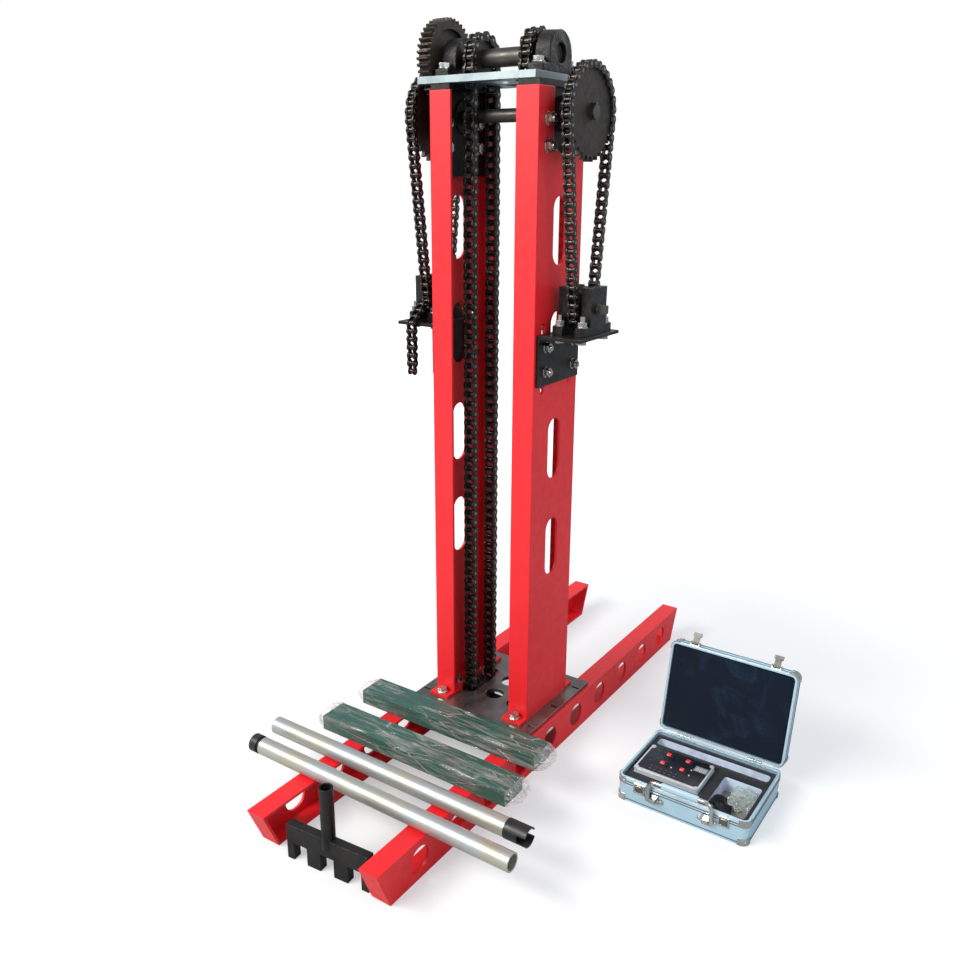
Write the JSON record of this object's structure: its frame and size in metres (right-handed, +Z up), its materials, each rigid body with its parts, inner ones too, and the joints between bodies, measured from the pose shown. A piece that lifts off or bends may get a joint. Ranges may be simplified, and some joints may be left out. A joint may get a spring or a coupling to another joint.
{
  "type": "soil penetrometer",
  "caption": "Hand-cranked soil penetrometer rig: twin channel columns on ground rails, geared chain drive, loose tubes, beams and an instrument case.",
  "frame": {"origin": "centre of the probe guide bore at the underside of the base plate", "axes": "+Z up along the probe rods, +X towards the instrument case, +Y towards the back of the rig; the drive shafts lie along X"},
  "size_m": [0.8705, 1.2, 1.4205],
  "materials": {
    "red_paint": "semi-gloss powder coat",
    "green_paint": "gloss paint",
    "black_plate": "blackened, worn",
    "black_oxide": "black oxide, oiled",
    "zinc_plate": "zinc plated",
    "bolt_zinc": "zinc plated",
    "chain_steel": "dark, oiled",
    "gear_steel": "machined and blackened",
    "shaft_steel": "turned and blackened",
    "galvanised": "bright zinc with a yellow and blue cast",
    "black_plastic": "moulded",
    "clear_film": "crinkled clear film",
    "case_aluminium": "anodised",
    "case_chrome": "chrome plated",
    "foam": "dense black foam",
    "lining": "dark blue pile",
    "meter_body": "metal frame with a black panel",
    "button_red": "glossy",
    "lead_rubber": "soft cable"
  },
  "bodies": {
    "frame": {"rail_left": "red_paint", "rail_right": "red_paint", "base_plate": "black_plate", "foot_plates": "red_paint", "column_left": "red_paint", "column_right": "red_paint", "column_caps": "black_oxide", "top_plate": "zinc_plate", "bearing_plates": "black_oxide", "hex_bolts": "bolt_zinc", "top_blocks": "black_oxide", "bracket_left": "black_oxide", "bracket_right": "black_oxide", "bracket_bolts": "bolt_zinc", "crank_blocks": "black_oxide", "block_studs": "bolt_zinc", "lower_bearings": "black_oxide", "main_chain_left": "chain_steel", "main_chain_right": "chain_steel", "main_chain_ends": "chain_steel", "side_chain_left": "chain_steel", "side_chain_right": "chain_steel", "side_chain_ends": "chain_steel", "chain_tail": "chain_steel", "tube_back": "galvanised", "tube_front": "galvanised", "tube_ends": "black_plastic", "beam_back": "green_paint", "beam_front": "green_paint", "beam_films": "clear_film", "fork_tool": "black_oxide", "case_shell": "case_aluminium", "case_fittings": "case_chrome", "case_foam": "foam", "meter_box": "meter_body", "lead": "lead_rubber", "lead_plugs": "lead_rubber", "parts_bag": "clear_film"},
    "drive": {"drive_shaft": "shaft_steel", "drive_gear": "gear_steel", "main_sprockets": "gear_steel"},
    "counter": {"counter_shaft": "shaft_steel", "pinion": "gear_steel", "side_sprockets": "gear_steel"},
    "crank_left": {"crank_shaft_left": "shaft_steel", "crank_sprocket_left": "gear_steel"},
    "crank_right": {"crank_shaft_right": "shaft_steel", "crank_sprocket_right": "gear_steel"},
    "lower": {"lower_shaft": "gear_steel"},
    "lid": {"lid_shell": "case_aluminium", "lid_fittings": "case_chrome", "lid_lining": "lining"},
    "latch_l": {"latch_left": "case_chrome"},
    "latch_r": {"latch_right": "case_chrome"},
    "handle": {"case_handle": "case_chrome"},
    "key_a": {"button_a": "button_red"},
    "key_b": {"button_b": "button_red"},
    "key_c": {"button_c": "button_red"},
    "key_d": {"button_d": "button_red"}
  },
  "joints": [
    {"name": "drive_turn", "type": "hinge", "parent": "frame", "child": "drive", "pos_m": [0, 0.032, 1.269], "axis": [1, 0, 0], "continuous": true, "deforming": ["main_chain_ends"]},
    {"name": "counter_turn", "type": "hinge", "parent": "frame", "child": "counter", "pos_m": [0, 0.032, 1.17275], "axis": [1, 0, 0], "continuous": true, "deforming": ["side_chain_ends"]},
    {"name": "crank_left_turn", "type": "hinge", "parent": "frame", "child": "crank_left", "pos_m": [-0.164, 0.032, 0.84184], "axis": [1, 0, 0], "continuous": true},
    {"name": "crank_right_turn", "type": "hinge", "parent": "frame", "child": "crank_right", "pos_m": [0.164, 0.032, 0.84184], "axis": [1, 0, 0], "continuous": true},
    {"name": "lower_turn", "type": "hinge", "parent": "frame", "child": "lower", "pos_m": [0, 0.032, -0.0264], "axis": [1, 0, 0], "continuous": true},
    {"name": "lid_hinge", "type": "hinge", "parent": "frame", "child": "lid", "pos_m": [0.4565, 0.129, -0.0257], "axis": [1, 0, 0], "range_deg": [0, 101]},
    {"name": "latch_left_hinge", "type": "hinge", "parent": "lid", "child": "latch_l", "pos_m": [0.373, 0.17828, 0.16337], "axis": [1, 0, 0], "range_deg": [-60, 120]},
    {"name": "latch_right_hinge", "type": "hinge", "parent": "lid", "child": "latch_r", "pos_m": [0.54, 0.17828, 0.16337], "axis": [1, 0, 0], "range_deg": [-60, 120]},
    {"name": "handle_hinge", "type": "hinge", "parent": "frame", "child": "handle", "pos_m": [0.4565, -0.0705, -0.05], "axis": [1, 0, 0], "range_deg": [0, 120]},
    {"name": "button_a_press", "type": "slide", "parent": "frame", "child": "key_a", "axis": [0, 0, -1], "range_m": [0, 0.0015], "stiffness_N_per_m": 300},
    {"name": "button_b_press", "type": "slide", "parent": "frame", "child": "key_b", "axis": [0, 0, -1], "range_m": [0, 0.0015], "stiffness_N_per_m": 300},
    {"name": "button_c_press", "type": "slide", "parent": "frame", "child": "key_c", "axis": [0, 0, -1], "range_m": [0, 0.0015], "stiffness_N_per_m": 300},
    {"name": "button_d_press", "type": "slide", "parent": "frame", "child": "key_d", "axis": [0, 0, -1], "range_m": [0, 0.0015], "stiffness_N_per_m": 300}
  ],
  "couplings": [
    {"joint": "counter_turn", "follows": "drive_turn", "ratio": -2.6667},
    {"joint": "crank_left_turn", "follows": "drive_turn", "ratio": -5.7143},
    {"joint": "crank_right_turn", "follows": "drive_turn", "ratio": -5.7143},
    {"joint": "lower_turn", "follows": "drive_turn", "ratio": 1}
  ]
}
